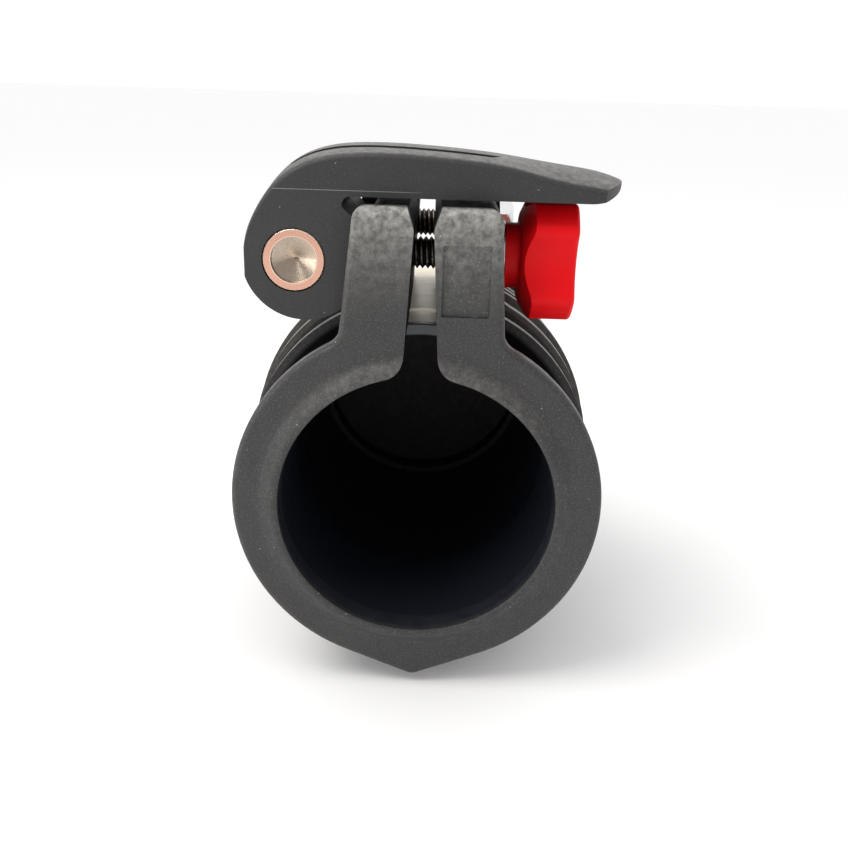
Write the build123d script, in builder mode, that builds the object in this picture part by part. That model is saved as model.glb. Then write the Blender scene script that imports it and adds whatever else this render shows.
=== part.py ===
from build123d import *
import os
from math import cos, radians, sqrt

# Lever clamp for a telescopic pole: split collar, cam lever, draw stud and knob.
# The pole's axis is Y. The lever side of the collar faces -Y, the ears point to +Z
# and the adjusting knob is on the +X side. Millimetres.

# ---- driving dimensions -------------------------------------------------

# pole and bores
BORE_R = 25.5            # front jaw, clamps the sliding inner pole
TUBE_R = 28.2            # outside of the outer pole
TUBE_WALL = 1.5
BUSH_WALL = 0.9
REAR_BORE_GAP = 0.1      # outer pole in the rear jaw

# collar along the pole
FLANGE_T = 3.2
FLANGE_EDGE = 1.1        # rounding of the flange's front rim
LIP = 1.5
LIP_OUT = 5.1            # how far past the bore the lip's shoulder starts
SHOULDER_Y = 25.8        # the bore steps out to the outer pole here
COLLAR_LEN = 74.0
SLIT_Y = 36.0            # crosswise slit that frees the two jaws
SLIT_W = 2.5

# collar section
FLANGE_R = 34.2
KEEL_Z = -36.9
KEEL_ROUND = 3.0
CORE_R = 30.2
REAR_CORE_R = 31.8
RIB_T = 2.2
RIBS = [(22.0, 34.5), (40.0, 36.1), (48.5, 35.5), (57.0, 34.9)]
MID_PLATE_Y = 31.2
MID_PLATE_T = 3.0
MID_PLATE_R = 35.4

# ears; each half-width pair is (left, right) at the top
EAR_TOP = 54.2
EAR_ROOT_HALF = 14.9
EAR_ROOT_Z = 27.0
EAR_BLEND = 3.6          # fillet between an ear and the ring
EAR_CORNER = 2.4
EAR_CROWN = 2.6          # rounding of the ears' front edge at the top
FRONT_EARS = (11.9, 13.0)
PLATE_EARS = (12.4, 14.2)
EAR_CORE_TOP = 53.6
EAR_CORE_LEFT = 9.5
EAR_CORE_RIGHT = 13.3
SLOT_TOP_HALF = 1.7
SLOT_ROOT_HALF = 2.95
SLOT_ROOT_Z = 29.0
SLOT_ROOT_ROUND = 4.5    # the slot flares into the front bore
SLOT_FLARE_Z = 50.5
SLOT_FLARE = 1.6
PANEL_W = 8.2
PANEL_H = 12.2
PANEL_X = 7.4
PANEL_Z = 42.1
PANEL_DEPTH = 0.5

# draw stud, pin and lever
STUD_Y = 17.6
STUD_Z = 43.9
STUD_R = 2.95
STUD_HOLE_R = 3.3
PIN_X = -22.6
PIN_R = 5.5
PIN_FIT = 0.08
RECESS_R = 4.0
RECESS_WALL = 1.2
RECESS_CONE = 2.0
STUD_END = 24.4
THREAD_FIT = 0.05
LEVER_W = 24.0
LEVER_NEAR = STUD_Y - LEVER_W / 2
LEVER_FAR = STUD_Y + LEVER_W / 2
CAM_R = 11.0
CAM_OFFSET = (1.8, 0.5)
ARM_UNDER = 55.0
LEVER_EDGE = 1.25
FORK_GAP = 7.4
PADDLE_R = 4.2
PADDLE_END = 34.8
GROOVE_OFFSET = 5.4
GROOVE_W = 2.6

# knob
WASHER_T = 1.4
WASHER_R = 6.2
WASHER_BORE_R = 3.2
HUB_X = EAR_CORE_RIGHT + WASHER_T
HUB_R = 6.0
HUB_END = 17.2
HEAD_X = 19.4            # back rim of the lobes
HEAD_END = 27.0
HEAD_R = 12.3
INSERT_R = 4.2
INSERT_END = 24.9
VALLEY_R = 9.5
VALLEY_PITCH_R = 18.4
LOBE_ROUND = 2.4
HEAD_EDGE = 0.9          # rounding of the lobes' front edge
BACK_STEP = 2.0          # the head's back face stands this far out over the hub
KNOB_CLEARANCE = 0.35    # between the turning lobes and the hollow under the paddle

# rear jaw screw
REAR_Y = 56.0
HEX_AF = 10.0
HEAD_H = 4.0
NUT_H = 4.6
NYLON_H = 1.6
REAR_LEFT = 11.5
REAR_RIGHT = 13.3
REAR_WASHER_R = 6.0
REAR_WASHER_T = 1.6

# outer pole stub
STUB_END = 84.0
BUSH_FLANGE_T = 1.5
PLUG_T = 8.0
PLUG_FIT = 0.04
PLUG_WALL = 2.2
PLUG_FLOOR = 2.5

os.makedirs("parts", exist_ok=True)


def across(y):
    """Section plane square to the pole at depth y, with local x = X and local y = Z."""
    return Plane.XZ.offset(-y)


def along(x):
    """Plane square to the stud at x, centred on the front stud, local x = Y, local y = Z."""
    return Plane(origin=(x, STUD_Y, STUD_Z), x_dir=(0, 1, 0), z_dir=(1, 0, 0))


def rear_along(x):
    """The same for the rear screw."""
    return Plane(origin=(x, REAR_Y, STUD_Z), x_dir=(0, 1, 0), z_dir=(1, 0, 0))


def keeled_disc(y, radius):
    """A disc with the blunt keel at its foot, at depth y."""
    foot = radius - FLANGE_R - KEEL_Z
    half = radius * sqrt(1 - (radius / foot) ** 2)
    rise = -radius * radius / foot
    with BuildSketch(across(y)) as disc:
        Circle(radius)
        with BuildLine():
            Polyline((0, 0), (-half, rise), (0, -foot), (half, rise), close=True)
        make_face()
        tip = disc.vertices().sort_by(Axis.Y)[0]
        fillet(tip, KEEL_ROUND)
    return disc.sketch


def eared_disc(y, radius, ear_tops):
    """A disc with the two tapering ears, before the slot is cut; ear_tops is a half-width pair."""
    root_half = EAR_ROOT_HALF + radius - FLANGE_R
    with BuildSketch(across(y)) as outline:
        Circle(radius)
        with BuildLine():
            Polyline((-root_half, EAR_ROOT_Z), (-ear_tops[0], EAR_TOP), (ear_tops[1], EAR_TOP),
                     (root_half, EAR_ROOT_Z), close=True)
        make_face()
        roots = outline.vertices().filter_by_position(Axis.Y, EAR_ROOT_Z - 3, EAR_ROOT_Z + 7)
        fillet(roots, EAR_BLEND)
        tops = outline.vertices().group_by(Axis.Y)[-1]
        fillet(tops, EAR_CORNER)
    return outline.sketch


def slot_section(y):
    """The tapering slot between the ears, open into the bore and with flared top edges."""
    with BuildSketch(across(y)) as slot:
        with BuildLine():
            left = Polyline((-SLOT_ROOT_HALF, 20.0), (-SLOT_ROOT_HALF, SLOT_ROOT_Z), (-SLOT_TOP_HALF, SLOT_FLARE_Z),
                            (-SLOT_TOP_HALF - SLOT_FLARE, EAR_TOP + 1))
            right = Polyline((SLOT_TOP_HALF + SLOT_FLARE, EAR_TOP + 1), (SLOT_TOP_HALF, SLOT_FLARE_Z),
                             (SLOT_ROOT_HALF, SLOT_ROOT_Z), (SLOT_ROOT_HALF, 20.0))
            Line(left @ 1, right @ 0)
            Line(right @ 1, left @ 0)
        make_face()
        fillet(slot.vertices().filter_by_position(Axis.Y, SLOT_FLARE_Z - 0.5, SLOT_FLARE_Z + 0.5), 2.5)
    return slot.sketch


def ear_core(y, length, left, right):
    """The thick part of both ears behind the flange, from y over length."""
    with BuildSketch(across(y)) as core:
        with BuildLine():
            Polyline((-left, 24.0), (-left, EAR_CORE_TOP), (right, EAR_CORE_TOP), (right, 24.0), close=True)
        make_face()
        fillet(core.vertices().group_by(Axis.Y)[-1], 2.0)
    return extrude(core.sketch, amount=-length)


# ---- collar: one glass-filled moulding -----------------------------------
with BuildPart() as clamp_body:
    # front flange with its ears, and the matching plate behind the lever
    extrude(eared_disc(0, FLANGE_R, FRONT_EARS), amount=-FLANGE_T)
    extrude(keeled_disc(0, FLANGE_R), amount=-FLANGE_T)
    front_edges = clamp_body.faces().sort_by(Axis.Y)[0].outer_wire().edges()
    fillet(front_edges, FLANGE_EDGE)
    extrude(eared_disc(MID_PLATE_Y, MID_PLATE_R, PLATE_EARS), amount=-MID_PLATE_T)
    extrude(keeled_disc(MID_PLATE_Y, MID_PLATE_R), amount=-MID_PLATE_T)
    # circular ribs and the rear flange
    for rib_y, rib_r in RIBS:
        extrude(keeled_disc(rib_y, rib_r), amount=-RIB_T)
    extrude(eared_disc(COLLAR_LEN - FLANGE_T, FLANGE_R, PLATE_EARS), amount=-FLANGE_T)
    extrude(keeled_disc(COLLAR_LEN - FLANGE_T, FLANGE_R), amount=-FLANGE_T)
    # cylindrical core, thicker over the outer pole
    with BuildSketch(across(0)):
        Circle(CORE_R)
    extrude(amount=-SHOULDER_Y)
    with BuildSketch(across(SHOULDER_Y - 3.5)):
        Circle(REAR_CORE_R)
    extrude(amount=-(COLLAR_LEN - SHOULDER_Y + 3.5))
    # ears
    add(ear_core(0.5, SLIT_Y - 1.0, EAR_CORE_LEFT, EAR_CORE_RIGHT))
    add(ear_core(SLIT_Y + SLIT_W, COLLAR_LEN - SLIT_Y - SLIT_W, REAR_LEFT, REAR_RIGHT))
    # raised lip round the mouth: a soft bead that rises out of the flange
    with BuildSketch(Plane.XY):
        with BuildLine():
            bead = Spline((BORE_R + LIP_OUT, 0.0), (BORE_R + 3.2, -0.24), (BORE_R + 1.9, -1.1), (BORE_R + 0.9, -LIP),
                          (BORE_R - 0.3, -0.7), tangents=[(-1, 0), (-0.3, 1)])
            Polyline(bead @ 1, (BORE_R - 0.3, 1.0), (BORE_R + LIP_OUT, 1.0), bead @ 0)
        make_face()
    revolve(axis=Axis.Y)
    # stepped bore; the front one opens into the slot with rounded corners
    with BuildSketch(across(-LIP - 1)) as mouth:
        Circle(BORE_R)
        with Locations((0, SLOT_ROOT_Z - 4)):
            Rectangle(2 * SLOT_ROOT_HALF, 8.2)
        slot_roots = mouth.vertices().filter_by_position(Axis.Y, BORE_R - 1, BORE_R)
        fillet(slot_roots, SLOT_ROOT_ROUND)
    extrude(amount=-(SHOULDER_Y + LIP + 2), mode=Mode.SUBTRACT)
    with BuildSketch(across(SHOULDER_Y)):
        Circle(TUBE_R + REAR_BORE_GAP)
    extrude(amount=-(COLLAR_LEN - SHOULDER_Y + 1), mode=Mode.SUBTRACT)
    # the ears' front edge is crowned at the top
    with BuildSketch(Plane.YZ.offset(-20.0)):
        with Locations((EAR_CROWN / 2, EAR_TOP + 1 - EAR_CROWN / 2 - 0.5)):
            Rectangle(EAR_CROWN, EAR_CROWN + 1)
        with Locations((EAR_CROWN, EAR_TOP - EAR_CROWN)):
            Circle(EAR_CROWN, mode=Mode.SUBTRACT)
    extrude(amount=40.0, mode=Mode.SUBTRACT)
    # slot between the ears and the slit between the two jaws
    extrude(slot_section(-LIP - 1), amount=-(COLLAR_LEN + LIP + 2), mode=Mode.SUBTRACT)
    with BuildSketch(Plane.XY.offset(24.0)):
        with Locations((0, SLIT_Y + SLIT_W / 2)):
            Rectangle(34.0, SLIT_W)
    extrude(amount=EAR_TOP, mode=Mode.SUBTRACT)
    # holes for the draw stud and the rear screw
    with BuildSketch(along(-20)):
        Circle(STUD_HOLE_R)
    extrude(amount=40, mode=Mode.SUBTRACT)
    with BuildSketch(rear_along(-20)):
        Circle(STUD_HOLE_R)
    extrude(amount=40, mode=Mode.SUBTRACT)
    # recessed nameless panel on the right ear
    with BuildSketch(across(0)):
        with Locations((PANEL_X, PANEL_Z)):
            RectangleRounded(PANEL_W, PANEL_H, 0.3)
    extrude(amount=-PANEL_DEPTH, mode=Mode.SUBTRACT)
clamp_body.part.label = "clamp_body"
export_step(clamp_body.part, "parts/clamp_body.step")

# ---- lever -----------------------------------------------------------------
CAM_X = PIN_X + CAM_OFFSET[0]
CAM_Z = STUD_Z + CAM_OFFSET[1]


def crown_section(x, side_z, middle_z):
    """Section of the lever at x: straight sides, rounded shoulders and a crowned top."""
    with BuildSketch(Plane.YZ.offset(x)) as crown:
        with BuildLine():
            foot = Polyline((LEVER_NEAR, side_z), (LEVER_NEAR, 20.0), (LEVER_FAR, 20.0), (LEVER_FAR, side_z))
            ThreePointArc(foot @ 1, (STUD_Y, middle_z), foot @ 0)
        make_face()
        fillet(crown.vertices().group_by(Axis.Y)[-1], LEVER_EDGE)
    return crown.sketch.faces()[0]


# heights of the lever's shoulders and of its middle, from the back of the eye to the tip
CROWN = [(-31.2, 46.6, 47.0), (-29.8, 50.9, 51.6), (-27.4, 54.8, 55.9), (-23.6, 58.6, 59.8), (-18.6, 61.0, 62.1),
         (-12.0, 62.1, 63.0), (-2.0, 62.1, 62.9), (8.0, 61.4, 62.3), (14.0, 60.6, 61.7), (20.0, 59.1, 60.9),
         (26.0, 57.9, 60.1), (30.5, 57.3, 59.4), (33.5, 56.7, 58.6), (36.5, 55.6, 57.3)]
with BuildPart() as crown_form:
    loft([crown_section(x, side_z, middle_z) for x, side_z, middle_z in CROWN])

with BuildPart() as cam_lever:
    # side view: cam round the pin, the back sweeping up to the top, and the arm
    with BuildSketch(across(LEVER_NEAR)) as side_view:
        with BuildLine():
            nose = Spline((28.0, ARM_UNDER), (32.2, 55.9), (PADDLE_END, 59.0), tangents=[(1, 0), (0, 1)])
            Polyline(nose @ 1, (PADDLE_END, 65.0), (-31.2, 65.0), (-31.2, CAM_Z), (CAM_X, CAM_Z), (-14.2, 47.0),
                     (-14.2, ARM_UNDER), nose @ 0)
        make_face()
        with Locations((CAM_X, CAM_Z)):
            Circle(CAM_R)
        fillet(side_view.vertices().filter_by_position(Axis.X, -14.5, -13.9).sort_by(Axis.Y)[-1], 1.4)
    extrude(amount=-LEVER_W)
    add(crown_form.part, mode=Mode.INTERSECT)
    # the paddle's corners are rounded, seen from above
    with BuildSketch(Plane.XY.offset(20.0)):
        with BuildLine():
            near = Line((-40.0, LEVER_NEAR), (PADDLE_END - PADDLE_R, LEVER_NEAR))
            tip = ThreePointArc(near @ 1, (PADDLE_END, STUD_Y), (PADDLE_END - PADDLE_R, LEVER_FAR))
            Polyline(tip @ 1, (-40.0, LEVER_FAR), near @ 0)
        make_face()
    extrude(amount=50.0, mode=Mode.INTERSECT)
    # shallow hollow under the paddle, round the knob's axis, that clears its lobes
    with BuildSketch(along(HEAD_X - 1.0)):
        Circle(HEAD_R + KNOB_CLEARANCE)
    extrude(amount=PADDLE_END - HEAD_X + 2.0, mode=Mode.SUBTRACT)
    # two lengthwise grooves that leave three ridges and run out on the paddle
    for side in (-1, 1):
        with BuildSketch(across(STUD_Y + side * GROOVE_OFFSET - GROOVE_W / 2)):
            with BuildLine():
                floor = Spline((-29.6, 55.0), (-19.0, 60.4), (-8.0, 61.3), (4.0, 61.1), (16.0, 62.0),
                               tangents=[(0.5, 1), (1, 0.1)])
                Polyline(floor @ 1, (16.0, 66.0), (-33.0, 66.0), (-33.0, 52.0), floor @ 0)
            make_face()
        extrude(amount=-GROOVE_W, mode=Mode.SUBTRACT)
    # fork gap that lets the stud swing from the ear side round to the back
    with BuildSketch(across(STUD_Y - FORK_GAP / 2)):
        with Locations((PIN_X, STUD_Z + 4.2 - 15.0)):
            Rectangle(40.0, 30.0)
    extrude(amount=-FORK_GAP, mode=Mode.SUBTRACT)
    # hole for the pin
    with BuildSketch(across(LEVER_NEAR - 1)):
        with Locations((PIN_X, STUD_Z)):
            Circle(PIN_R + PIN_FIT)
    extrude(amount=-(LEVER_W + 2), mode=Mode.SUBTRACT)
cam_lever.part.label = "cam_lever"
export_step(cam_lever.part, "parts/cam_lever.step")

# ---- pivot pin: turned bar with dished ends and a threaded cross hole ----------
with BuildPart() as pivot_pin:
    with BuildSketch(across(LEVER_NEAR)):
        with Locations((PIN_X, STUD_Z)):
            Circle(PIN_R)
    extrude(amount=-LEVER_W)
    chamfer(pivot_pin.edges().filter_by(GeomType.CIRCLE), 0.25)
    # drilled recess with a cone at its bottom, in both ends
    for end_y, inward in ((LEVER_NEAR, 1), (LEVER_FAR, -1)):
        with BuildSketch(Plane(origin=(PIN_X, end_y, STUD_Z), x_dir=(1, 0, 0), z_dir=(0, 0, 1))) as recess:
            with BuildLine():
                Polyline((0, -inward), (RECESS_R, -inward), (RECESS_R, inward * RECESS_WALL),
                         (0, inward * (RECESS_WALL + RECESS_CONE)), close=True)
            make_face()
        revolve(axis=Axis((PIN_X, 0, STUD_Z), (0, 1, 0)), mode=Mode.SUBTRACT)
    # cross hole for the stud
    with BuildSketch(along(PIN_X - PIN_R - 1)):
        Circle(STUD_R)
    extrude(amount=2 * PIN_R + 2, mode=Mode.SUBTRACT)
pivot_pin.part.label = "pivot_pin"
export_step(pivot_pin.part, "parts/pivot_pin.step")

# ---- draw stud ------------------------------------------------------------------
with BuildPart() as tension_stud:
    with BuildSketch(along(PIN_X - PIN_R + 0.6)):
        Circle(STUD_R)
    extrude(amount=STUD_END - PIN_X + PIN_R - 0.6)
    chamfer(tension_stud.edges().filter_by(GeomType.CIRCLE), 0.6)
tension_stud.part.label = "tension_stud"
export_step(tension_stud.part, "parts/tension_stud.step")

# ---- thrust washer under the knob ---------------------------------------------------
with BuildPart() as thrust_washer:
    with BuildSketch(along(EAR_CORE_RIGHT)):
        Circle(WASHER_R)
        Circle(WASHER_BORE_R, mode=Mode.SUBTRACT)
    extrude(amount=WASHER_T)
    rims = thrust_washer.edges().filter_by(GeomType.CIRCLE).sort_by(SortBy.RADIUS)[-2:]
    chamfer(rims, 0.25)
thrust_washer.part.label = "thrust_washer"
export_step(thrust_washer.part, "parts/thrust_washer.step")

# ---- knob: hub, flared back and a four-lobed head --------------------------------------
with BuildPart() as lobed_form:
    with BuildSketch(along(HUB_X)):
        Circle(HUB_R + 0.6)
    extrude(amount=HEAD_END - HUB_X)
    with BuildSketch(along(HUB_END - 1.0)) as lobes:
        Circle(HEAD_R)
        with PolarLocations(VALLEY_PITCH_R, 4):
            Circle(VALLEY_R, mode=Mode.SUBTRACT)
        fillet(lobes.vertices(), LOBE_ROUND)
    extrude(amount=HEAD_END - HUB_END + 1.0)
    fillet(lobed_form.faces().sort_by(Axis.X)[-1].outer_wire().edges(), HEAD_EDGE)

with BuildPart() as adjusting_knob:
    with BuildSketch(Plane(origin=(0, STUD_Y, STUD_Z), x_dir=(1, 0, 0), z_dir=(0, -1, 0))) as half_section:
        with BuildLine():
            Polyline((HUB_X, 0), (HUB_X, HUB_R), (HUB_END, HUB_R - 0.1), (HUB_END + 0.2, HUB_R + BACK_STEP),
                     (HEAD_X, HEAD_R), (HEAD_X + 1.0, HEAD_R + 1.0), (HEAD_END + 1.0, HEAD_R + 1.0),
                     (HEAD_END + 1.0, 0), close=True)
        make_face()
        fillet(half_section.vertices().filter_by_position(Axis.X, HUB_END - 0.1, HUB_END + 0.1), 0.6)
    revolve(axis=Axis((0, STUD_Y, STUD_Z), (1, 0, 0)))
    add(lobed_form.part, mode=Mode.INTERSECT)
    # blind hole that holds the threaded insert
    with BuildSketch(along(HUB_X - 1)):
        Circle(INSERT_R)
    extrude(amount=INSERT_END - HUB_X + 1, mode=Mode.SUBTRACT)
adjusting_knob.part.label = "adjusting_knob"
export_step(adjusting_knob.part, "parts/adjusting_knob.step")

# ---- threaded insert moulded into the knob ------------------------------------------------
with BuildPart() as knob_insert:
    with BuildSketch(along(HUB_X + 0.1)):
        Circle(INSERT_R)
        Circle(STUD_R + THREAD_FIT, mode=Mode.SUBTRACT)
    extrude(amount=INSERT_END - HUB_X - 0.1)
    # two waists lock it in the plastic
    for waist in (0.3, 0.65):
        with BuildSketch(along(HUB_X + waist * (INSERT_END - HUB_X))):
            Circle(INSERT_R + 1)
            Circle(INSERT_R - 0.5, mode=Mode.SUBTRACT)
        extrude(amount=1.4, mode=Mode.SUBTRACT)
knob_insert.part.label = "knob_insert"
export_step(knob_insert.part, "parts/knob_insert.step")

# ---- rear jaw: hexagon screw, washers and locking nut ---------------------------------------
HEX_R = HEX_AF / 2 / cos(radians(30))
with BuildPart() as rear_washers:
    with BuildSketch(rear_along(REAR_RIGHT)):
        Circle(REAR_WASHER_R)
        Circle(WASHER_BORE_R, mode=Mode.SUBTRACT)
    extrude(amount=REAR_WASHER_T)
    with BuildSketch(rear_along(-REAR_LEFT - REAR_WASHER_T)):
        Circle(REAR_WASHER_R)
        Circle(WASHER_BORE_R, mode=Mode.SUBTRACT)
    extrude(amount=REAR_WASHER_T)
rear_washers.part.label = "rear_washers"
export_step(rear_washers.part, "parts/rear_washers.step")

SCREW_HEAD_X = REAR_RIGHT + REAR_WASHER_T
NUT_X = -REAR_LEFT - REAR_WASHER_T
with BuildPart() as rear_screw:
    with BuildSketch(rear_along(SCREW_HEAD_X)):
        RegularPolygon(HEX_R, 6)
    extrude(amount=HEAD_H)
    # the head's corners are turned off
    with BuildSketch(Plane(origin=(0, REAR_Y, STUD_Z), x_dir=(1, 0, 0), z_dir=(0, -1, 0))) as turned:
        with BuildLine():
            Polyline((SCREW_HEAD_X, 0), (SCREW_HEAD_X, HEX_R), (SCREW_HEAD_X + HEAD_H - 0.9, HEX_R),
                     (SCREW_HEAD_X + HEAD_H, HEX_AF / 2 - 0.2), (SCREW_HEAD_X + HEAD_H, 0), close=True)
        make_face()
    revolve(axis=Axis((0, REAR_Y, STUD_Z), (1, 0, 0)), mode=Mode.INTERSECT)
    with BuildSketch(rear_along(NUT_X - NUT_H - NYLON_H - 2.0)):
        Circle(STUD_R)
    extrude(amount=SCREW_HEAD_X - NUT_X + NUT_H + NYLON_H + 2.0)
rear_screw.part.label = "rear_screw"
export_step(rear_screw.part, "parts/rear_screw.step")

with BuildPart() as rear_nut:
    with BuildSketch(rear_along(NUT_X - NUT_H)):
        RegularPolygon(HEX_R, 6)
        Circle(STUD_R, mode=Mode.SUBTRACT)
    extrude(amount=NUT_H)
    # thin crimped collar round the nylon ring
    with BuildSketch(rear_along(NUT_X - NUT_H - NYLON_H)):
        Circle(HEX_AF / 2 - 0.3)
        Circle(HEX_AF / 2 - 0.9, mode=Mode.SUBTRACT)
    extrude(amount=NYLON_H)
rear_nut.part.label = "rear_nut"
export_step(rear_nut.part, "parts/rear_nut.step")

with BuildPart() as nut_lock_ring:
    with BuildSketch(rear_along(NUT_X - NUT_H - NYLON_H + 0.2)):
        Circle(HEX_AF / 2 - 0.9)
        Circle(STUD_R, mode=Mode.SUBTRACT)
    extrude(amount=NYLON_H - 0.2)
nut_lock_ring.part.label = "nut_lock_ring"
export_step(nut_lock_ring.part, "parts/nut_lock_ring.step")

# ---- stub of the outer pole, its guide bush and its end plug ------------------------------------
BUSH_Y = SHOULDER_Y + BUSH_FLANGE_T
TUBE_IN_R = TUBE_R - TUBE_WALL
BUSH_LEN = STUB_END - PLUG_T - SHOULDER_Y
with BuildPart() as outer_pole_stub:
    with BuildSketch(across(BUSH_Y)):
        Circle(TUBE_R)
        Circle(TUBE_IN_R, mode=Mode.SUBTRACT)
    extrude(amount=-(STUB_END - BUSH_Y))
    outer_rims = outer_pole_stub.edges().filter_by(GeomType.CIRCLE).sort_by(SortBy.RADIUS)[-2:]
    chamfer(outer_rims, 0.3)
outer_pole_stub.part.label = "outer_pole_stub"
export_step(outer_pole_stub.part, "parts/outer_pole_stub.step")

with BuildPart() as guide_bush:
    with BuildSketch(across(SHOULDER_Y)):
        Circle(TUBE_R)
    extrude(amount=-BUSH_FLANGE_T)
    with BuildSketch(across(SHOULDER_Y)):
        Circle(TUBE_IN_R)
    extrude(amount=-BUSH_LEN)
    with BuildSketch(across(SHOULDER_Y)):
        Circle(TUBE_IN_R - BUSH_WALL)
    extrude(amount=-BUSH_LEN, mode=Mode.SUBTRACT)
    mouth = guide_bush.edges().filter_by(GeomType.CIRCLE).group_by(Axis.Y)[0].sort_by(SortBy.RADIUS)
    chamfer(mouth, 0.25)
guide_bush.part.label = "guide_bush"
export_step(guide_bush.part, "parts/guide_bush.step")

with BuildPart() as stub_plug:
    with BuildSketch(across(STUB_END - PLUG_T)):
        Circle(TUBE_IN_R - PLUG_FIT)
    extrude(amount=-PLUG_T)
    with BuildSketch(across(STUB_END - PLUG_T)):
        Circle(TUBE_IN_R - PLUG_WALL)
    extrude(amount=-(PLUG_T - PLUG_FLOOR), mode=Mode.SUBTRACT)
stub_plug.part.label = "stub_plug"
export_step(stub_plug.part, "parts/stub_plug.step")
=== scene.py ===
# %% [markdown]
# # A lever clamp for a telescopic pole
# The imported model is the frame: every body, hole and seat stands where the design put it,
# in metres. This lesson dresses it: the threads are cut as fine meshes, and every surface
# gets a finish of its own.

# %% Load the frame
from math import cos, floor as whole, pi, radians, sin

import bmesh
import bpy
from mathutils import Matrix, Vector


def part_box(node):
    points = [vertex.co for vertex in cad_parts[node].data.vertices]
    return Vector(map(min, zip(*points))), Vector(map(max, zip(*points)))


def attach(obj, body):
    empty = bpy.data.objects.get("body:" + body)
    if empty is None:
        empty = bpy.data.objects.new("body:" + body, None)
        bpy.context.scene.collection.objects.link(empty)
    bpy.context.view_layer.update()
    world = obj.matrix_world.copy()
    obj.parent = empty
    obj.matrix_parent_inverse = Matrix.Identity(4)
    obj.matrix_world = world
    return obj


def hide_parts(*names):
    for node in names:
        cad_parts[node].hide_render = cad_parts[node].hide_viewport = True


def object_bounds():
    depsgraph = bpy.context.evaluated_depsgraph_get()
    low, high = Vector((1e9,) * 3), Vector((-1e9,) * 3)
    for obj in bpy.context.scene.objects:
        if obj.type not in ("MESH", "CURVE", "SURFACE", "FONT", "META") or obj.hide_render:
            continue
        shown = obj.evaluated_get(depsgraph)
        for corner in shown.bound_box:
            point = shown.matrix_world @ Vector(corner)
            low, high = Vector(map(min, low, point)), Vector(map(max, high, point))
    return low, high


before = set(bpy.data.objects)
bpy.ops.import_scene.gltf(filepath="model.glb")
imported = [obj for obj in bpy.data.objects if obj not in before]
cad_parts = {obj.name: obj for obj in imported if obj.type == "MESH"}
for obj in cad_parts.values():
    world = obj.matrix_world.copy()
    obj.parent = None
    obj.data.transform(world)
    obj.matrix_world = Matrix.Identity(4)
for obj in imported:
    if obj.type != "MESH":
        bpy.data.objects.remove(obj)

cad_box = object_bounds()
MM = 0.001
print("frame box in mm", [[round(c / MM, 1) for c in corner] for corner in cad_box])

# %% [markdown]
# ## Camera, floor and light
# A small product is shot from close by, slightly above, looking into its mouth. The camera is
# about 17 cm from the flange with a normal lens, and tipped by a degree or two because the
# clamp was not lying quite square.

# %% Camera
VIEW_POINT = Vector((1.8, -154.8, 74.5)) * MM
YAW, PITCH, ROLL = radians(-0.30), radians(20.55), radians(1.79)
LENS_MM, SENSOR_MM = 39.396, 36.0

forward = Vector((sin(YAW) * cos(PITCH), cos(YAW) * cos(PITCH), -sin(PITCH)))
level_right = forward.cross(Vector((0, 0, 1))).normalized()
level_up = level_right.cross(forward)
right = level_right * cos(ROLL) + level_up * sin(ROLL)
up = level_up * cos(ROLL) - level_right * sin(ROLL)

camera = bpy.data.objects.new("camera", bpy.data.cameras.new("camera"))
camera.data.sensor_width = SENSOR_MM
camera.data.lens = LENS_MM
camera.data.clip_start = 0.005
camera.data.clip_end = 20.0
axes = Matrix((right, up, -forward)).transposed()
camera.matrix_world = Matrix.Translation(VIEW_POINT) @ axes.to_4x4()
bpy.context.collection.objects.link(camera)
bpy.context.scene.camera = camera
print("lens", round(camera.data.lens, 2), "mm")

# %% [markdown]
# The floor is one large pale sheet at the height of the keel, the clamp's lowest point.
# A sheet that runs far past the object gives an even ground with no edge in sight.
# Plain colour handling, without a film curve, keeps the floor white and the red clear.

# %% Floor
FLOOR_HALF = 6.0
FLOOR_Z = cad_box[0][2]

floor_mesh = bpy.data.meshes.new("floor")
quarters = ((-1, -1), (1, -1), (1, 1), (-1, 1))
corners = [(sx * FLOOR_HALF, sy * FLOOR_HALF, FLOOR_Z) for sx, sy in quarters]
floor_mesh.from_pydata(corners, [], [(0, 1, 2, 3)])
floor_sheet = bpy.data.objects.new("floor", floor_mesh)
bpy.context.collection.objects.link(floor_sheet)

floor_paint = bpy.data.materials.new("floor_paint")
floor_paint.use_nodes = True
floor_shader = floor_paint.node_tree.nodes["Principled BSDF"]
floor_shader.inputs["Base Color"].default_value = (0.93, 0.93, 0.93, 1)
floor_shader.inputs["Roughness"].default_value = 0.9
floor_shader.inputs["Specular IOR Level"].default_value = 0.1
floor_mesh.materials.append(floor_paint)
bpy.context.scene.view_settings.view_transform = "Standard"
print("floor at", round(FLOOR_Z / MM, 1), "mm")

# %% [markdown]
# Black plastic shows the light around it more than its own colour. The room is pale above
# and darker on the viewer's side. A large soft panel hangs high on the left, and a second
# one stands low on the left and grazes the flange. Large panels keep the sheen soft.

# %% Light
ROOM_DARK, ROOM_PALE = 0.56, 1.28

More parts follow.
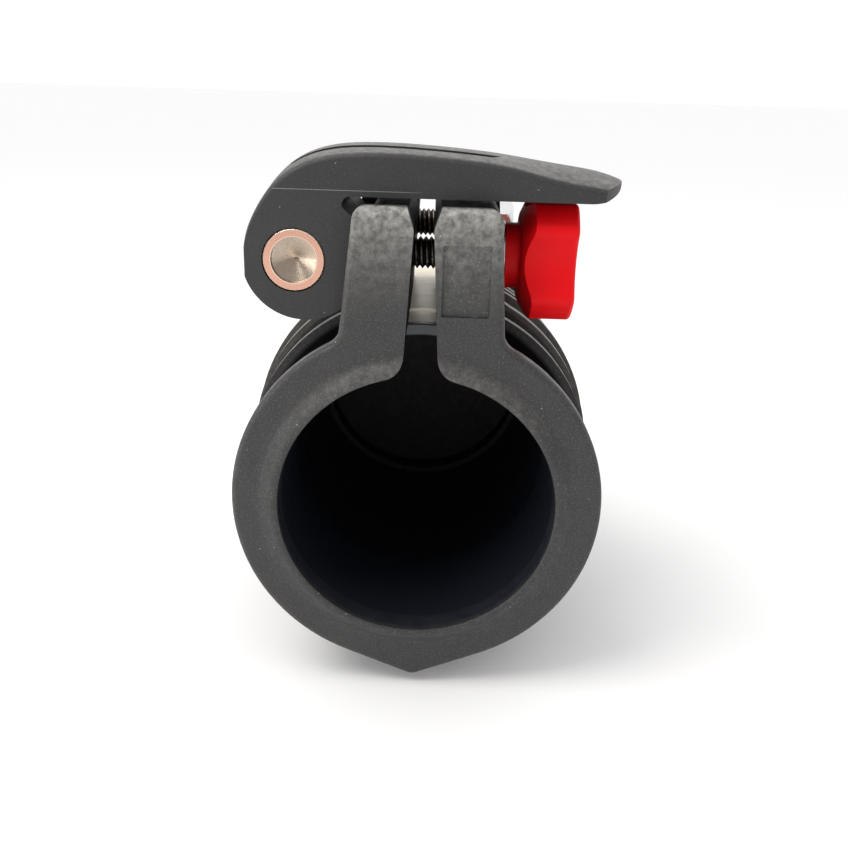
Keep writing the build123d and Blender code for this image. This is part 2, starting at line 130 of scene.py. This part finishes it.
world = bpy.data.worlds.new("studio")
world.use_nodes = True
room_nodes, room_links = world.node_tree.nodes, world.node_tree.links
direction = room_nodes.new("ShaderNodeTexCoord").outputs["Generated"]
split = room_nodes.new("ShaderNodeSeparateXYZ")
room_links.new(direction, split.inputs["Vector"])
away = room_nodes.new("ShaderNodeMapRange")
away.interpolation_type = "SMOOTHSTEP"
away.inputs["From Min"].default_value = -0.75
away.inputs["From Max"].default_value = 0.25
away.inputs["To Min"].default_value = ROOM_DARK
away.inputs["To Max"].default_value = ROOM_PALE
room_links.new(split.outputs["Y"], away.inputs["Value"])
room_links.new(away.outputs["Result"], room_nodes["Background"].inputs["Strength"])
room_nodes["Background"].inputs["Color"].default_value = (1.0, 1.0, 1.0, 1)
bpy.context.scene.world = world


def soft_panel(name, place, target, width, power, tint):
    """A square soft light at place, facing target; places are in mm."""
    panel = bpy.data.lights.new(name, "AREA")
    panel.shape = "SQUARE"
    panel.size = width * MM
    panel.energy = power
    panel.color = tint
    lamp = bpy.data.objects.new(name, panel)
    lamp.location = Vector(place) * MM
    aim = (Vector(target) - Vector(place)).to_track_quat("-Z", "Y")
    lamp.rotation_euler = aim.to_euler()
    bpy.context.collection.objects.link(lamp)
    return lamp


soft_panel("key_panel", (-260, -120, 460), (0, 20, 10), 300, 1.6, (1.0, 0.98, 0.95))
soft_panel("side_panel", (-400, -260, 20), (0, 0, 0), 260, 0.55, (1.0, 0.99, 0.98))
print("two soft panels beside the clamp")

# %% [markdown]
# ## Finishes
# Each finish is a small tree of nodes on a principled shader. A few helpers keep the trees
# short: one starts a finish, and the others add a noise, a ramp, or a bump to it.
# The clamp is only a few centimetres across, so a grain of a quarter millimetre needs a
# noise scale in the thousands.

# %% Finish helpers


class Finish:
    """One material under construction: its nodes, links and shader."""

    def __init__(self, name):
        self.material = bpy.data.materials.new(name)
        self.material.use_nodes = True
        self.nodes = self.material.node_tree.nodes
        self.links = self.material.node_tree.links
        self.shader = self.nodes["Principled BSDF"]
        coordinates = self.nodes.new("ShaderNodeTexCoord")
        self.place = coordinates.outputs["Object"]
        self.normal = coordinates.outputs["Normal"]

    def set(self, **sockets):
        """Set the shader's own sockets; an underscore stands for a space."""
        for name, value in sockets.items():
            self.shader.inputs[name.replace("_", " ")].default_value = value

    def join(self, source, socket):
        """Lead a source into one of the shader's sockets."""
        self.links.new(source, self.shader.inputs[socket])

    def grain(self, size_mm, detail=2.0, roughness=0.5, stretch=None):
        """Noise whose blotches are about size_mm across, from 0 to 1."""
        noise = self.nodes.new("ShaderNodeTexNoise")
        noise.inputs["Scale"].default_value = 1000.0 / size_mm
        noise.inputs["Detail"].default_value = detail
        noise.inputs["Roughness"].default_value = roughness
        self.links.new(self.stretched(stretch) if stretch else self.place, noise.inputs["Vector"])
        return noise.outputs["Fac"]

    def stretched(self, factors):
        """The place on the piece, scaled by factors along X, Y and Z."""
        scaled = self.nodes.new("ShaderNodeVectorMath")
        scaled.operation = "MULTIPLY"
        scaled.inputs[1].default_value = factors
        self.links.new(self.place, scaled.inputs[0])
        return scaled.outputs["Vector"]

    def specks(self, spacing_mm, share):
        """Sparse specks, 1 inside and 0 outside; share is the speck's part of its cell."""
        cells = self.nodes.new("ShaderNodeTexVoronoi")
        cells.inputs["Scale"].default_value = 1000.0 / spacing_mm
        self.links.new(self.place, cells.inputs["Vector"])
        return self.between(cells.outputs["Distance"], share, share * 0.5)

    def between(self, value, low, high, to_low=0.0, to_high=1.0):
        """value, taken from low..high to to_low..to_high and held at the ends."""
        span = self.nodes.new("ShaderNodeMapRange")
        span.inputs["From Min"].default_value = low
        span.inputs["From Max"].default_value = high
        span.inputs["To Min"].default_value = to_low
        span.inputs["To Max"].default_value = to_high
        self.links.new(value, span.inputs["Value"])
        return span.outputs["Result"]

    def along(self, axis, low_mm, high_mm):
        """0 at low_mm and 1 at high_mm along an axis of the frame."""
        parted = self.nodes.new("ShaderNodeSeparateXYZ")
        self.links.new(self.place, parted.inputs["Vector"])
        return self.between(parted.outputs[axis], low_mm * MM, high_mm * MM)

    def facing(self, axis, low, high):
        """0 to 1 as the surface's own direction turns from low to high along an axis."""
        parted = self.nodes.new("ShaderNodeSeparateXYZ")
        self.links.new(self.normal, parted.inputs["Vector"])
        return self.between(parted.outputs[axis], low, high)

    def reckon(self, operation, first, second):
        """first and second put together by a maths operation."""
        node = self.nodes.new("ShaderNodeMath")
        node.operation = operation
        for socket, value in zip(node.inputs, (first, second)):
            if isinstance(value, float):
                socket.default_value = value
            else:
                self.links.new(value, socket)
        return node.outputs["Value"]

    def both(self, first, second):
        """The product of two amounts: full only where both are full."""
        return self.reckon("MULTIPLY", first, second)

    def distance(self, axis, centre_mm):
        """Distance from an axis of the frame through centre_mm, in mm."""
        moved = self.nodes.new("ShaderNodeVectorMath")
        moved.operation = "SUBTRACT"
        moved.inputs[1].default_value = [c * MM for c in centre_mm]
        self.links.new(self.place, moved.inputs[0])
        flat = self.nodes.new("ShaderNodeVectorMath")
        flat.operation = "MULTIPLY"
        flat.inputs[1].default_value = [0.0 if name == axis else 1.0 for name in "XYZ"]
        self.links.new(moved.outputs["Vector"], flat.inputs[0])
        size = self.nodes.new("ShaderNodeVectorMath")
        size.operation = "LENGTH"
        self.links.new(flat.outputs["Vector"], size.inputs[0])
        return self.both(size.outputs["Value"], 1.0 / MM)

    def tint(self, amount, first, second):
        """A colour between first and second; either may be a colour or another tint."""
        mix = self.nodes.new("ShaderNodeMix")
        mix.data_type = "RGBA"
        self.links.new(amount, mix.inputs["Factor"])
        for socket, value in ((mix.inputs[6], first), (mix.inputs[7], second)):
            if isinstance(value, tuple):
                socket.default_value = (*value, 1)
            else:
                self.links.new(value, socket)
        return mix.outputs[2]

    def relief(self, height, depth_mm, under=None):
        """A bump of depth_mm, over another bump if one is given."""
        bump = self.nodes.new("ShaderNodeBump")
        bump.inputs["Distance"].default_value = depth_mm * MM
        self.links.new(height, bump.inputs["Height"])
        if under:
            self.links.new(under, bump.inputs["Normal"])
        return bump.outputs["Normal"]


def dress(node_name, finish):
    """Give a node of the frame its finish."""
    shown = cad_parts[node_name]
    shown.data.materials.clear()
    shown.data.materials.append(finish.material)


print("helpers ready for", len(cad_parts), "nodes")

# %% [markdown]
# ### Glass-filled nylon of the collar
# The collar is black nylon with glass fibre. Its skin is matt with a fine spark-eroded grain,
# and the fibre reads through as a pale frost, raised by a painted top light towards the
# rounded tops of the ears. The bore, the grooves between the ribs and the ears behind their
# fronts are darkened by painted shade, and the ribs' rims and the bead carry a painted highlight.

# %% Collar nylon
nylon = Finish("body_nylon")
nylon.set(IOR=1.5)
from_axis = nylon.distance("Y", (0, 0, 0))
# the bore beyond the front face, where shade is painted
inside = nylon.both(nylon.between(from_axis, 26.2, 25.6), nylon.along("Y", -1.2, 0.6))
fleck = nylon.between(nylon.grain(0.33, detail=1.5), 0.54, 0.72)
# painted top light: a ramp that rises with height and pales the ear tops
painted_top_light = nylon.reckon("POWER", nylon.along("Z", 32.0, 54.5), 2.4)
mottle = nylon.between(nylon.grain(1.5, detail=4.0, roughness=0.7), 0.38, 0.66)
skin = nylon.tint(nylon.grain(9.0, detail=3.0), (0.019, 0.019, 0.020), (0.034, 0.033, 0.032))
skin = nylon.tint(nylon.both(fleck, 0.30), skin, (0.17, 0.17, 0.165))

# frost with a painted top light on the ears, and a painted highlight on the bead where it rises to the
# slot
frost_and_top_light = nylon.both(painted_top_light, nylon.between(mottle, 0.0, 1.0, 0.25, 0.95))
skin = nylon.tint(frost_and_top_light, skin, (0.42, 0.41, 0.38))
# painted highlight on the bead's lit slope beside the slot, mottled
painted_bead_light = nylon.both(nylon.between(from_axis, 29.5, 27.0), nylon.along("Z", 12.0, 24.0))
painted_bead_light = nylon.both(painted_bead_light, nylon.between(mottle, 0.0, 1.0, 0.05, 0.40))
skin = nylon.tint(painted_bead_light, skin, (0.20, 0.195, 0.18))
skin = nylon.tint(nylon.both(nylon.specks(3.1, 0.05), 0.5), skin, (0.55, 0.55, 0.53))

# painted shade on the flanks of the ears and in the grooves, and a painted highlight on the rims of the
# ribs
around_ribs = nylon.both(nylon.along("Y", 3.4, 4.2), nylon.along("Z", 36.0, 31.0))
painted_groove_shade = nylon.both(nylon.between(from_axis, 33.4, 32.4), around_ribs)
# painted highlight along the rims of the ribs
painted_rim_highlight = nylon.both(nylon.between(from_axis, 34.3, 34.5), around_ribs)
# painted shade on the ears behind their front faces, where the lever shades them
painted_flank_shade = nylon.both(nylon.along("Y", 1.6, 2.6), nylon.along("Z", 31.0, 33.0))
skin = nylon.tint(nylon.both(painted_flank_shade, 0.85), skin, (0.007, 0.007, 0.008))
# painted shade in the grooves between the ribs, where the lever and the ribs shade them
skin = nylon.tint(painted_groove_shade, skin, (0.003, 0.003, 0.004))
painted_rim_highlight = nylon.both(painted_rim_highlight, nylon.between(mottle, 0.0, 1.0, 0.45, 1.0))
skin = nylon.tint(painted_rim_highlight, skin, (0.10, 0.092, 0.08))
# painted shade inside the bore, with a blue cast
skin = nylon.tint(inside, skin, (0.011, 0.013, 0.019))
nylon.join(skin, "Base Color")

# less sheen where shade is painted
painted_shade_spots = nylon.reckon("MAXIMUM", painted_groove_shade, nylon.both(painted_flank_shade, 0.6))
nylon.join(nylon.between(painted_shade_spots, 0.0, 1.0, 0.5, 0.06), "Specular IOR Level")
matt = nylon.between(nylon.grain(2.4, detail=3.0), 0.3, 0.7, 0.42, 0.58)
nylon.join(matt, "Roughness")
nylon.join(nylon.relief(nylon.grain(0.25, detail=2.0), 0.016), "Normal")
dress("clamp_body", nylon)

# %% [markdown]
# ### Satin nylon of the lever
# The lever is the same family of nylon from a smoother tool, so it is darker and more satin.
# A painted highlight pales the crowned top where it faces up, and a thin seam from the mould runs along
# its side.
# The painted highlight follows the surface's own direction, so it stays on the crown when the lever
# swings.

# %% Lever nylon
satin = Finish("lever_nylon")
satin.set(IOR=1.5)
skin = satin.tint(satin.grain(12.0, detail=2.0), (0.020, 0.019, 0.020), (0.028, 0.027, 0.028))
fleck = satin.between(satin.grain(0.33, detail=1.0), 0.58, 0.76)
skin = satin.tint(satin.both(fleck, 0.22), skin, (0.14, 0.14, 0.14))
skin = satin.tint(satin.both(satin.specks(2.6, 0.05), 0.5), skin, (0.5, 0.5, 0.48))

# the painted highlight on the upward-facing crown, and the seam along the side
patchy_amount = satin.between(satin.grain(1.2, detail=4.0, roughness=0.7), 0.36, 0.64, 0.25, 1.0)
painted_crown_light = satin.both(satin.facing("Z", 0.72, 0.97), satin.along("Z", 56.0, 57.5))
skin = satin.tint(satin.both(painted_crown_light, patchy_amount), skin, (0.145, 0.142, 0.132))
seam = satin.reckon("SUBTRACT", satin.along("Z", 55.92, 55.97), satin.along("Z", 56.02, 56.07))
seam_end = satin.both(satin.along("X", 0.0, -4.0), satin.facing("Y", -0.8, -0.95))
skin = satin.tint(satin.both(seam, seam_end), skin, (0.20, 0.20, 0.19))
satin.join(skin, "Base Color")

satin.join(satin.between(satin.grain(3.0, detail=3.0), 0.3, 0.7, 0.50, 0.62), "Roughness")
satin.join(satin.relief(satin.grain(0.28, detail=2.0), 0.010), "Normal")
dress("cam_lever", satin)
print("lever seam at z = 56 mm")

# %% [markdown]
# ### Red plastic of the knob
# The knob is coloured right through. A slow change of shade and a very fine grain keep it from
# looking like paint, and little gloss keeps the red deep under a white room.

# %% Red knob plastic
red = Finish("red_plastic")
red.set(IOR=1.42, Specular_IOR_Level=0.2)
red.join(red.tint(red.grain(7.0, detail=2.0), (0.72, 0.002, 0.005), (0.82, 0.003, 0.007)), "Base Color")
red.join(red.between(red.grain(1.8, detail=3.0), 0.3, 0.7, 0.44, 0.56), "Roughness")
red.join(red.relief(red.grain(0.35, detail=2.0), 0.006), "Normal")
dress("adjusting_knob", red)

# %% [markdown]
# ### Bush and plug
# The bush that lines the pole is black and slick. Its front rim is painted lighter, a painted
# highlight that shows as a faint ring deep in the mouth. The plug is dull black rubber.

# %% Bush and plug
RIM_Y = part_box("guide_bush")[0].y / MM

bush = Finish("bush_plastic")
lining = bush.tint(bush.grain(3.0), (0.005, 0.006, 0.009), (0.009, 0.011, 0.016))
# painted highlight: a lighter band on the bush's front rim
painted_rim_light = bush.along("Y", RIM_Y + 0.5, RIM_Y + 0.1)
bush.join(bush.tint(painted_rim_light, lining, (0.085, 0.09, 0.10)), "Base Color")
bush.join(bush.between(bush.grain(1.5, detail=2.0), 0.3, 0.7, 0.30, 0.42), "Roughness")
bush.join(bush.relief(bush.grain(0.6, detail=2.0), 0.004), "Normal")
dress("guide_bush", bush)

rubber = Finish("plug_rubber")
rubber.join(rubber.tint(rubber.grain(2.0), (0.006, 0.006, 0.006), (0.012, 0.012, 0.012)), "Base Color")
rubber.join(rubber.between(rubber.grain(1.0, detail=2.0), 0.3, 0.7, 0.55, 0.75), "Roughness")
rubber.join(rubber.relief(rubber.grain(0.5, detail=2.0), 0.010), "Normal")
dress("stub_plug", rubber)

# %% [markdown]
# ### Turned steel of the pin
# Fine rings from the lathe run round the pin's end face, and the cutter's rings also show in
# the drilled cone. The two lips of the face are burnished brighter than the face between them.

# %% Turned steel of the pin
PIN_CENTRE = (-22.6, 0, 43.9)
PIN_RECESS_R, PIN_RIM_R = 4.0, 5.5
LATHE_RINGS = 52.0

steel = Finish("turned_steel")
steel.set(Metallic=1.0, Anisotropic=0.4)
from_pin = steel.distance("Y", PIN_CENTRE)
face = steel.between(from_pin, PIN_RECESS_R + 0.02, PIN_RECESS_R + 0.12)
colour = steel.tint(steel.grain(2.0), (0.40, 0.32, 0.25), (0.50, 0.41, 0.33))
colour = steel.tint(face, colour, (0.66, 0.37, 0.28))
inner_lip = steel.between(from_pin, PIN_RECESS_R + 0.20, PIN_RECESS_R + 0.12)
outer_lip = steel.between(from_pin, PIN_RIM_R - 0.32, PIN_RIM_R - 0.24)
lips = steel.both(steel.reckon("MAXIMUM", inner_lip, outer_lip), face)
colour = steel.tint(lips, colour, (0.84, 0.70, 0.54))
steel.join(colour, "Base Color")
rings = steel.reckon("SINE", steel.both(from_pin, LATHE_RINGS), 0.0)
steel.join(steel.between(steel.grain(0.5, detail=3.0), 0.3, 0.7, 0.20, 0.34), "Roughness")
steel.join(steel.relief(rings, 0.0022), "Normal")
dress("pivot_pin", steel)

# %% [markdown]
# ### Drawn tube of the pole
# The pole is a pale drawn tube with faint marks across it from polishing. The marks are one
# noise, stretched round the tube, that drives the colour, the roughness and the relief.

# %% Drawn tube
pole = Finish("pole_metal")
pole.set(Metallic=0.12)
patchy_amount = pole.grain(5.0, detail=3.0)
fine_marks = pole.grain(0.5, detail=3.0, stretch=(0.08, 1, 1))
colour = pole.tint(patchy_amount, (0.86, 0.76, 0.60), (0.94, 0.85, 0.69))
colour = pole.tint(pole.both(pole.between(fine_marks, 0.45, 0.7), 0.35), colour, (0.62, 0.52, 0.42))
pole.join(colour, "Base Color")
pole.join(pole.between(fine_marks, 0.3, 0.7, 0.34, 0.52), "Roughness")
pole.join(pole.relief(fine_marks, 0.006), "Normal")
dress("outer_pole_stub", pole)

# %% [markdown]
# ### Zinc, brass and the lock ring
# Washers and nut are zinc plated, the insert in the knob is brass, and the nut's lock ring is
# blue nylon, as such rings often are.

# %% Zinc, brass and the lock ring
zinc = Finish("zinc_steel")
zinc.set(Metallic=1.0)
zinc.join(zinc.tint(zinc.grain(1.0), (0.58, 0.59, 0.60), (0.74, 0.74, 0.72)), "Base Color")
zinc.join(zinc.between(zinc.grain(0.5), 0.3, 0.7, 0.25, 0.40), "Roughness")
zinc.join(zinc.relief(zinc.grain(0.3), 0.004), "Normal")
for piece in ("rear_nut", "rear_washers", "thrust_washer"):
    dress(piece, zinc)

brass = Finish("insert_brass")
brass.set(Metallic=1.0)
brass.join(brass.tint(brass.grain(1.0), (0.68, 0.48, 0.20), (0.80, 0.60, 0.28)), "Base Color")
brass.join(brass.between(brass.grain(0.5), 0.3, 0.7, 0.25, 0.40), "Roughness")
dress("knob_insert", brass)

lock_ring = Finish("ring_nylon")
lock_ring.join(lock_ring.tint(lock_ring.grain(2.0), (0.03, 0.10, 0.30), (0.05, 0.14, 0.38)), "Base Color")
lock_ring.join(lock_ring.between(lock_ring.grain(0.8), 0.3, 0.7, 0.40, 0.50), "Roughness")
dress("nut_lock_ring", lock_ring)

# %% [markdown]
# ### Screw steel
# The stud and the screw are rolled from dark phosphated steel. The crests are rubbed bright
# by the nuts that have run over them, and the roots stay black with old oil, so the colour
# follows the distance from the screw's own axis.

# %% Screw steel
M6_CREST, M6_ROOT, PITCH_MM = 2.95, 2.42, 1.0


def screw_finish(name, axis_point):
    """Dark steel with bright crests round an axis along X."""
    finish = Finish(name)
    finish.set(Metallic=1.0)
    crest = finish.between(finish.distance("X", axis_point), M6_ROOT + 0.16, M6_CREST - 0.03)
    patchy_amount = finish.both(crest, finish.between(finish.grain(0.8, detail=3.0), 0.25, 0.6))
    finish.join(finish.tint(patchy_amount, (0.030, 0.028, 0.027), (0.80, 0.66, 0.58)), "Base Color")
    finish.join(finish.between(finish.grain(0.4, detail=2.0), 0.3, 0.7, 0.26, 0.42), "Roughness")
    return finish


STUD_AXIS, SCREW_AXIS = (0, 17.6, 43.9), (0, 56.0, 43.9)
stud_steel = screw_finish("stud_steel", STUD_AXIS)
screw_steel = screw_finish("screw_steel", SCREW_AXIS)
print("crest", M6_CREST, "root", M6_ROOT, "pitch", PITCH_MM)

# %% [markdown]
# ## Threads
# A screw thread is a ridge that climbs one pitch each turn. The neatest way to make one is a
# tube of rings whose radius depends on two things together, the place along the screw and
# the angle round it. The radius then rises and falls like a saw with 60 degree flanks, cut
# flat at the crest and at the root, and no ring has to be moved by hand.

# %% Thread helper
ROUND_STEPS, ALONG_STEP = 48, 0.1
ROOT_FLAT, FLANK_SHARE = 0.14, 0.72
LEAD_IN, LEAD_DROP = 0.7, 0.12


def thread_radius(place, angle):
    """Radius of an M6 thread at a place along the screw in mm and an angle round it."""
    turn = place / PITCH_MM - angle / (2 * pi)
    part = abs(turn - whole(turn) - 0.5) * 2
    slope = min(1.0, max(0.0, (part - ROOT_FLAT) / FLANK_SHARE))
    return M6_ROOT + (M6_CREST - M6_ROOT) * slope


def threaded_rod(name, axis_point, start, end):
    """A threaded rod along X from start to end, with a lead-in at both ends."""
    _, y0, z0 = axis_point
    steps = round((end - start) / ALONG_STEP)
    rod = bmesh.new()
    rings = []
    for i in range(steps + 1):
        x = start + (end - start) * i / steps
        lead_in = min(1.0, min(x - start, end - x) / LEAD_IN)
        largest = M6_ROOT - LEAD_DROP + (M6_CREST - M6_ROOT + LEAD_DROP) * lead_in
        ring = []
        for k in range(ROUND_STEPS):
            angle = 2 * pi * k / ROUND_STEPS
            radius = min(thread_radius(x, angle), largest)
            point = Vector((x, y0 + radius * cos(angle), z0 + radius * sin(angle)))
            ring.append(rod.verts.new(point * MM))
        rings.append(ring)
    for near, far in zip(rings, rings[1:]):
        for k in range(ROUND_STEPS):
            rod.faces.new((near[k], near[k - 1], far[k - 1], far[k])).smooth = True
    rod.faces.new(rings[0])
    rod.faces.new(rings[-1][::-1])
    bmesh.ops.recalc_face_normals(rod, faces=rod.faces[:])
    mesh = bpy.data.meshes.new(name)
    rod.to_mesh(mesh)
    rod.free()
    piece = bpy.data.objects.new(name, mesh)
    bpy.context.collection.objects.link(piece)
    print(name, "has", round((end - start) / PITCH_MM), "turns of thread")
    return piece


# %% [markdown]
# The draw stud is threaded from end to end: it is screwed through the pin on the left and
# into the knob on the right. It rides with the pin.

# %% Draw stud
stud_low, stud_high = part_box("tension_stud")
draw_stud = threaded_rod("draw_stud", STUD_AXIS, stud_low.x / MM, stud_high.x / MM)
draw_stud.data.materials.append(stud_steel.material)
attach(draw_stud, "stud")
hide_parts("tension_stud")

# %% [markdown]
# The rear screw is a bolt: a hexagon head on the right, a thread on the left for the lock
# nut, and threads right up to the head, as on a fully threaded screw. The head is turned off
# to a slant at its corners, which leaves curved edges on the six flats. Cutting each face
# of the hexagon by the slant gives exactly those curves.

# %% Hexagon head
HEAD_FLATS, HEAD_HEIGHT = 10.0, 4.0
SLANT_DEPTH, SLANT_FALL, SLANT_LEVELS = 1.4, 0.75, 6
TOP_INSET, CORNER_SPARE = 0.35, 0.1
STEPS_PER_FLAT = 12


def hexagon_head(name, axis_point, start):
    """A hexagon head along X from start, with its outer corners turned off."""
    _, y0, z0 = axis_point
    half_flats = HEAD_FLATS / 2
    corner = half_flats / cos(radians(30))
    slant_start = HEAD_HEIGHT - SLANT_DEPTH
    levels = [0.0] + [slant_start + SLANT_DEPTH * i / SLANT_LEVELS for i in range(SLANT_LEVELS + 1)]
    count = 6 * STEPS_PER_FLAT
    head = bmesh.new()
    rings = []
    for height in levels:
        turned = corner + CORNER_SPARE - max(0.0, height - slant_start) * SLANT_FALL
        turned = max(turned, half_flats - TOP_INSET)
        ring = []
        for k in range(count):
            angle = 2 * pi * k / count + radians(30)
            flat_angle = (angle - radians(30)) % radians(60) - radians(30)
            radius = min(half_flats / cos(flat_angle), turned)
            point = Vector((start + height, y0 + radius * cos(angle), z0 + radius * sin(angle)))
            ring.append(head.verts.new(point * MM))
        rings.append(ring)
    for near, far in zip(rings, rings[1:]):
        for k in range(count):
            head.faces.new((near[k], near[k - 1], far[k - 1], far[k]))
    head.faces.new(rings[0])
    head.faces.new(rings[-1][::-1])
    bmesh.ops.recalc_face_normals(head, faces=head.faces[:])
    mesh = bpy.data.meshes.new(name)
    head.to_mesh(mesh)
    head.free()
    piece = bpy.data.objects.new(name, mesh)
    bpy.context.collection.objects.link(piece)
    return piece


ROD_IN_HEAD = 0.5

screw_low, screw_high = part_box("rear_screw")
head_start = screw_high.x / MM - HEAD_HEIGHT
rear_rod = threaded_rod("rear_screw_thread", SCREW_AXIS, screw_low.x / MM, head_start + ROD_IN_HEAD)
rear_head = hexagon_head("rear_screw_head", SCREW_AXIS, head_start)
for piece, finish in ((rear_rod, screw_steel), (rear_head, zinc)):
    piece.data.materials.append(finish.material)
    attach(piece, "collar")
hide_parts("rear_screw")
print("head starts at", round(head_start, 2), "mm")
